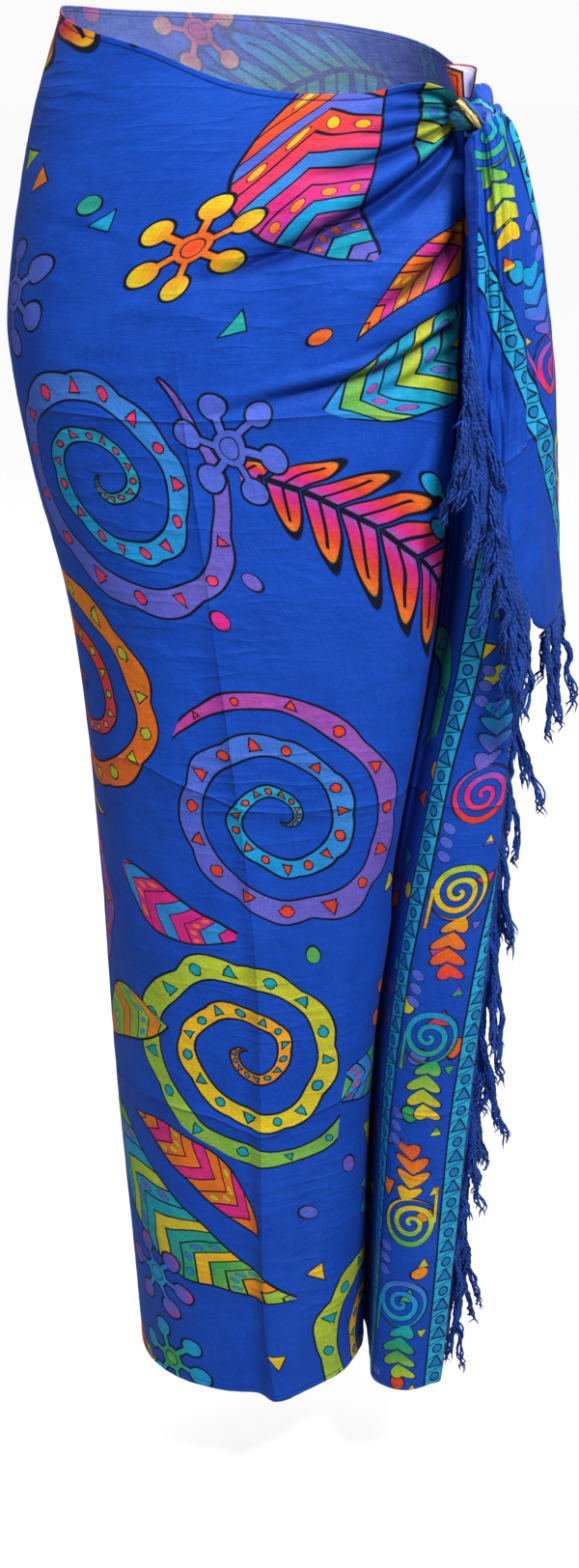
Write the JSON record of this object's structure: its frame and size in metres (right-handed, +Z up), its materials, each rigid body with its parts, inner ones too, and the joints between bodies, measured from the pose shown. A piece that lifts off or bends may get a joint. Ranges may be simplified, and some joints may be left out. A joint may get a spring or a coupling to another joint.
{
  "type": "sarong",
  "caption": "Long printed cloth wrapped round the hips and tied in a knot over one hip, open at the waist and the hem, with a hanging free corner and fringed ends.",
  "frame": {"origin": "on the wearer's axis at the level of the waist, where the tightened top edge and the knot hold the cloth", "axes": "+Z up, -Y out of the wearer's front, +X towards the hip that carries the knot"},
  "size_m": [0.4128, 0.2651, 1.0857],
  "materials": {
    "printed_cloth": "soft rayon with a printed pattern, low sheen",
    "fringe_yarn": "twisted rayon yarn, matte"
  },
  "bodies": {
    "root": {"wrap": "printed_cloth", "front_fall": "printed_cloth", "tail": "printed_cloth", "knot_core": "printed_cloth", "knot_band": "printed_cloth", "knot_loop": "printed_cloth", "corner_ear": "printed_cloth", "fall_fringe": "fringe_yarn", "tail_fringe": "fringe_yarn", "tip_fringe": "fringe_yarn", "end_fringe": "fringe_yarn"}
  },
  "joints": []
}
